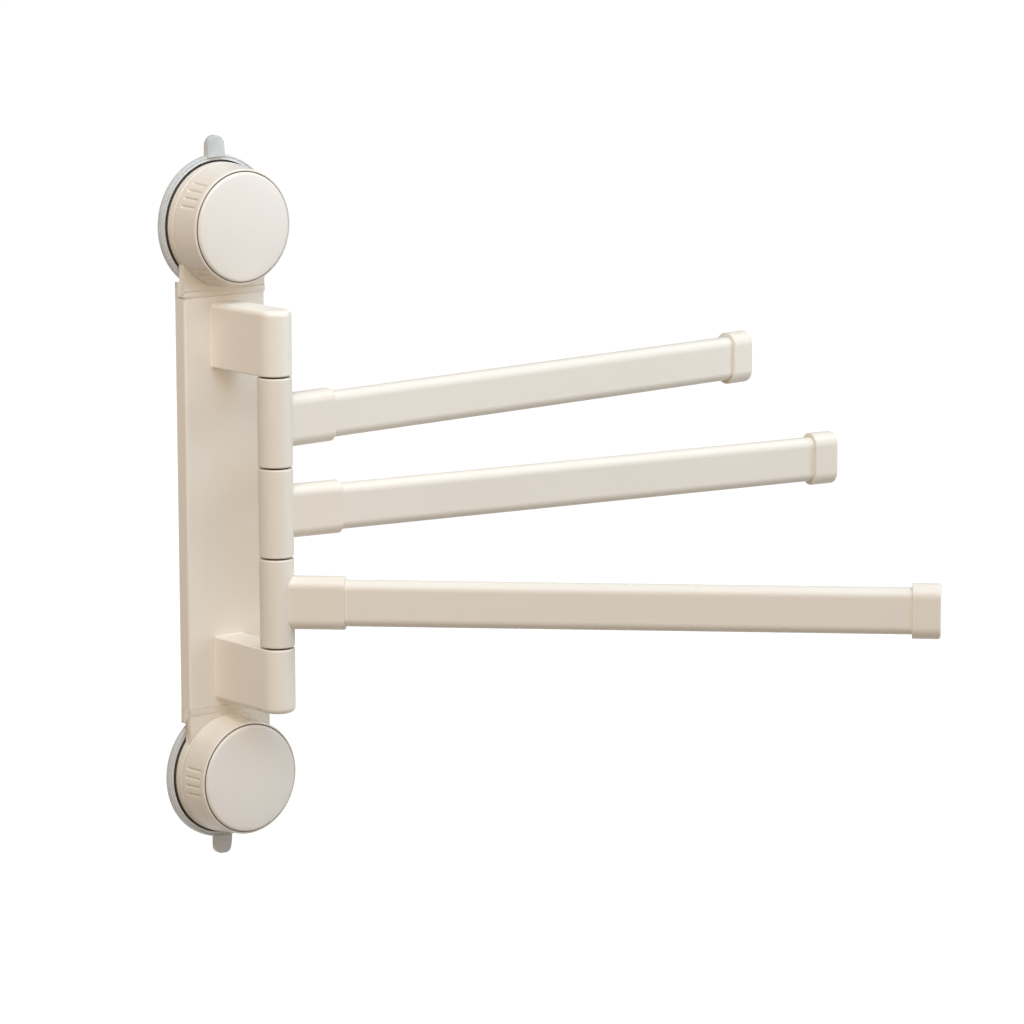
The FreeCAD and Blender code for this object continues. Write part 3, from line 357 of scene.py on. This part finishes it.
def add_tab(shape, width, top, corner):
    """Adds a flat tab above the lip, with round corners and soft rims; sizes in mm."""
    tab = bmesh.ops.create_cube(shape, size=1.0)["verts"]
    bmesh.ops.scale(shape, verts=tab, vec=(width / 1000, (TAB_FRONT - TAB_LIFT) / 1000,
                                           (top - TAB_ROOT) / 1000))
    bmesh.ops.translate(shape, verts=tab, vec=(0, -(TAB_FRONT + TAB_LIFT) / 2000,
                                               (top + TAB_ROOT) / 2000))
    corners = [e for e in shape.edges if all(v in tab for v in e.verts)
               and all(abs(v.co.z - top / 1000) < SAME_PLACE for v in e.verts)
               and abs(e.verts[0].co.y - e.verts[1].co.y) > SAME_PLACE]
    bmesh.ops.bevel(shape, geom=corners, offset=corner / 1000, offset_type="OFFSET",
                    segments=TAB_CORNER_STEPS, profile=0.5, affect="EDGES", material=-1)
    rims = [e for e in shape.edges if e.is_manifold and e.calc_face_angle() > TAB_RIM_ANGLE
            and all(v.co.z > TAB_RIM_FROM / 1000 for v in e.verts)]
    bmesh.ops.bevel(shape, geom=rims, offset=TAB_RIM_ROUND / 1000, offset_type="OFFSET",
                    segments=TAB_RIM_STEPS, profile=0.5, affect="EDGES", material=-1)


def reach_and_depth(face):
    """A face's distances in mm from the unit's axis and from the wall, before it is placed."""
    middle = face.calc_center_median() * 1000
    return math.hypot(middle.x, middle.z), -middle.y


def unit_place(unit, own_turn=0.0):
    """Where a unit's part stands: turned about the cup's axis by degrees, then raised. The
    lower unit is the upper one turned half round."""
    height, half_turn = (CUP_CENTRE, 0.0) if unit == "upper" else (-CUP_CENTRE, 180.0)
    return Matrix.Translation((0, 0, height)) \
        @ Matrix.Rotation(math.radians(half_turn + own_turn), 4, "Y")


def finished(name, shape, materials, body, node, crease=38.0):
    """Makes a bmesh a smooth-shaded piece of the product that stands for a CAD node. A piece
    without a body is left unattached."""
    mesh = bpy.data.meshes.new(name)
    shape.to_mesh(mesh)
    shape.free()
    mesh.polygons.foreach_set("use_smooth", [True] * len(mesh.polygons))
    mesh.set_sharp_from_angle(angle=math.radians(crease))
    for material in materials:
        mesh.materials.append(material)
    piece = bpy.data.objects.new(name, mesh)
    bpy.context.scene.collection.objects.link(piece)
    if body:
        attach(piece, body)
    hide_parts(node)
    return piece


# Soft PVC, clear but milky through its thickness: pale grey, glossy and faintly see-through.
clear_pvc = grained("milky_clear_pvc", "#e5e8e6", "#dcdfdd", 30.0, 1.2, 0.006, (0.16, 0.24),
                    IOR=1.53, **{"Transmission Weight": 0.22})
# The same PVC at the bottom of the groove, painted dark: painted shade of the groove's
# underside.
groove_painted_shade_pvc = grained("clear_pvc_painted_shade", "#6a635a", "#5c564e", 12.0, 0.9, 0.006, (0.3, 0.4),
                     IOR=1.53)
# The tabs are thick flat pads of it, their flat faces painted a darker grey: painted shade.
tab_painted_shade_pvc = grained("clear_pvc_tab_painted_shade", "#c3c6c5", "#bbbebd", 12.0, 1.2, 0.006, (0.2, 0.3),
                  IOR=1.53)

for unit in UNITS:
    shape = all_round(quarter_turned(CUP_OUTLINE, QUARTER_STEPS))
    add_tab(shape, *TAB_SIZES[unit])
    # Faces in the groove get the painted shade of the groove.
    for face in shape.faces:
        reach, depth = reach_and_depth(face)
        if (SHADED_REACH[0] < reach < SHADED_REACH[1]
                and SHADED_DEPTHS[0] < depth < SHADED_DEPTHS[1]):
            face.material_index = 1
        # The tabs' flat faces get the darker grey of the painted shade.
        elif (face.calc_center_median().z > TAB_FACE_FROM / 1000
                and abs(face.normal.y) > TAB_FACE_TURNED):
            face.material_index = 2
    bmesh.ops.transform(shape, verts=shape.verts, matrix=unit_place(unit, CUP_TURN[unit]))
    cup = finished(unit + "_clear_cup", shape, (clear_pvc, groove_painted_shade_pvc, tab_painted_shade_pvc), None,
                   unit + "_suction_cup")
    # The middle is moulded round the stud's head and goes to the wall with it.
    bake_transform(cup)

# ---------------------------------------------------------------- cup housings
# Drum, neck and foot of each unit in one ABS moulding, held by screws from behind. The neck's
# face runs up into the lip at the plate's end in a soft step, and the foot is hardly proud.
LIP_DEPTH = 8.4
NECK_DROP = 0.25
STEP_START, STEP_END = -34.7, -31.0
STEP_LOOPS = 8
# What lies outside the drum, in front of this depth and below this height is the neck's face,
# and what lies wider than the foot's half width below its own height is the foot's side.
DRUM_REACH = 30.9
FRONT_FROM = 7.5
NECK_BELOW = -18.0
NECK_HALF = 24.75
FOOT_BELOW = -25.0
FOOT_HALF = 24.8


def step_depth(height):
    """How far the neck or lip stands from the wall at a height over the cup's centre, mm."""
    along = min(max((height - STEP_START) / (STEP_END - STEP_START), 0.0), 1.0)
    return LIP_DEPTH - NECK_DROP * along * along * (3 - 2 * along)


for unit in UNITS:
    shape = bmesh.new()
    shape.from_mesh(frame["nodes"][unit + "_cup_housing"].data)
    bmesh.ops.remove_doubles(shape, verts=shape.verts, dist=SAME_PLACE)
    place = unit_place(unit)
    bmesh.ops.transform(shape, verts=shape.verts, matrix=place.inverted())
    for k in range(STEP_LOOPS + 1):
        height = STEP_START + (STEP_END - STEP_START) * k / STEP_LOOPS
        bmesh.ops.bisect_plane(shape, geom=shape.verts[:] + shape.edges[:] + shape.faces[:],
                               dist=WELD, plane_co=(0, 0, height / 1000), plane_no=(0, 0, 1))
    for point in shape.verts:
        x, depth, z = point.co.x * 1000, -point.co.y * 1000, point.co.z * 1000
        outside_drum = math.hypot(x, z) > DRUM_REACH
        if abs(x) < NECK_HALF and z < NECK_BELOW and depth > FRONT_FROM and outside_drum:
            point.co.y = -step_depth(z) / 1000
        elif abs(x) > FOOT_HALF and z < FOOT_BELOW:
            point.co.x = math.copysign(FOOT_HALF, x) / 1000
    bmesh.ops.remove_doubles(shape, verts=shape.verts, dist=SAME_PLACE)
    bmesh.ops.transform(shape, verts=shape.verts, matrix=place)
    finished(unit + "_housing_moulding", shape, (satin_abs,), "wall_frame",
             unit + "_cup_housing")

# ---------------------------------------------------------------- locking knobs
# A moulded ABS grip ring, slightly tapered, with four groups of four soft finger grooves, and
# a domed front disc that snaps into it and stands a little proud.
KNOB_TURN = {"upper": 0.0, "lower": -33.5}
RING_REAR = 8.6
RING_REAR_ROUND = 0.2
RING_REAR_RADIUS = 30.8
RING_FRONT = 24.15
RING_FRONT_RADIUS = 29.05
RING_OUTSIDE_FROM = 28.8
# Steps of the mesh in a quarter turn, and a loop every 0.3 mm of depth where grooves run.
GROOVE_STEPS = 180
LOOPS_START, LOOPS_STEP, LOOPS = 11.2, 0.3, 40
# Four grooves to a group, degrees apart, with the middle of the first group at this angle.
GROOVES = 4
GROOVE_STEP = 8.4
GROOVE_FIRST = 145.5
GROOVE_HALF_WIDTH = 1.0
GROOVE_DEPTH = 0.75
GROOVE_BACK = 11.6
GROOVE_FRONT = 22.6
GROOVE_RUN_OUT = 1.0
GROOVE_RADIUS = 29.6
QUARTER_MIDDLE = 45.0
DOME_RADIUS = 27.65
DOME_RIM = 26.4
DOME_RISE = 1.7
# The disc's rim inside the gap, which gets the painted shade, by distance in mm from the axis
# and from the wall.
RIM_REACH = (27.2, 27.6)
RIM_DEPTHS = (23.3, 24.95)


def round_corner(centre, radius, first, last, count):
    """Points of an arc in a (radius, depth) outline, from one angle to another."""
    return [(centre[0] + radius * math.cos(math.radians(first + (last - first) * k / count)),
             centre[1] + radius * math.sin(math.radians(first + (last - first) * k / count)))
            for k in range(count + 1)]


def ring_radius(depth):
    """The radius of the ring's outside, which narrows evenly to the front; all in mm."""
    start = RING_REAR + RING_REAR_ROUND
    share = (depth - start) / (RING_FRONT - start)
    return RING_REAR_RADIUS + (RING_FRONT_RADIUS - RING_REAR_RADIUS) * share


def groove_sink(place):
    """How deep the grooves are at a point of the ring's outside, in mm."""
    depth = -place.y * 1000
    reach = math.hypot(place.x, place.z) * 1000
    if not GROOVE_BACK < depth < GROOVE_FRONT or reach < RING_OUTSIDE_FROM:
        return 0.0
    ends = min(depth - GROOVE_BACK, GROOVE_FRONT - depth) / GROOVE_RUN_OUT
    across = math.degrees(math.atan2(place.z, place.x)) - QUARTER_MIDDLE
    first = -(GROOVES - 1) / 2 * GROOVE_STEP
    nearest = min(max(round((across - first) / GROOVE_STEP), 0), GROOVES - 1)
    off = math.radians(across - first - nearest * GROOVE_STEP) * GROOVE_RADIUS
    if abs(off) >= GROOVE_HALF_WIDTH:
        return 0.0
    profile = (1 + math.cos(math.pi * off / GROOVE_HALF_WIDTH)) / 2
    return GROOVE_DEPTH * profile * math.sin(math.pi / 2 * min(ends, 1.0))


RING_OUTLINE = (
    [(27.0, RING_REAR + RING_REAR_ROUND), (27.2, RING_REAR)]
    + round_corner((RING_REAR_RADIUS - RING_REAR_ROUND, RING_REAR + RING_REAR_ROUND),
                   RING_REAR_ROUND, -90.0, 0.0, 3)
    + [(ring_radius(depth), depth) for depth in
       (10.0, 10.8) + tuple(LOOPS_START + LOOPS_STEP * k for k in range(LOOPS)) + (23.4, 24.0)]
    + round_corner((28.25, RING_FRONT), 0.8, 4.0, 78.0, 5)
    + [(28.2, 25.0), (28.05, 24.95), (28.0, 24.8), (28.0, 23.2), (27.0, 23.2), (27.0, 18.6)]
    + [(12.2, 18.6), (12.2, 20.1), (9.86, 20.1), (9.86, 15.1), (9.9, 11.4), (12.2, 11.4)]
    + [(12.2, 16.4), (27.0, 16.4)]
)
DISC_OUTLINE = (
    [(0.0, 23.5), (22.4, 23.5), (22.4, 18.7), (24.0, 18.7), (24.0, 23.5), (27.2, 23.5)]
    + [(27.5, 23.8), (27.5, 24.8)] + round_corner((26.0, 25.0), 1.5, 0.0, 82.0, 8)
    + [(r, DOME_RIM + DOME_RISE * (1 - (r / DOME_RADIUS) ** 2))
       for r in (24.5, 22.0, 18.0, 14.0, 10.0, 6.0, 3.0, 1.0, 0.0)]
)
# The disc comes from a mould of its own, a little whiter, and its rim inside the gap is
# painted dark: painted shade of the gap.
disc_abs = moulded_abs("satin_moulded_abs_disc", "#ebe6dd", "#e8e2d8")
rim_painted_shade_abs = grained("abs_rim_painted_shade", "#7a6d5c", "#6f6353", 20.0, 0.9, 0.01, (0.6, 0.7),
                  IOR=1.53)

for unit in UNITS:
    body, turned = unit + "_knob", KNOB_TURN[unit]
    shape = quarter_turned(RING_OUTLINE, GROOVE_STEPS)
    for point in shape.verts:
        sink = groove_sink(point.co)
        if sink > 0.0:
            point.co -= Vector((point.co.x, 0.0, point.co.z)).normalized() * sink / 1000
    shape = all_round(shape)
    bmesh.ops.transform(shape, verts=shape.verts,
                        matrix=unit_place(unit, turned + QUARTER_MIDDLE - GROOVE_FIRST))
    finished(unit + "_grip_ring", shape, (satin_abs,), body,
             unit + "_knob_ring")
    shape = all_round(quarter_turned(DISC_OUTLINE, QUARTER_STEPS))
    for face in shape.faces:
        reach, depth = reach_and_depth(face)
        face.material_index = int(RIM_REACH[0] < reach < RIM_REACH[1]
                                  and RIM_DEPTHS[0] < depth < RIM_DEPTHS[1])
    bmesh.ops.transform(shape, verts=shape.verts, matrix=unit_place(unit, turned))
    finished(unit + "_front_disc", shape, (disc_abs, rim_painted_shade_abs), body,
             unit + "_knob_disc")
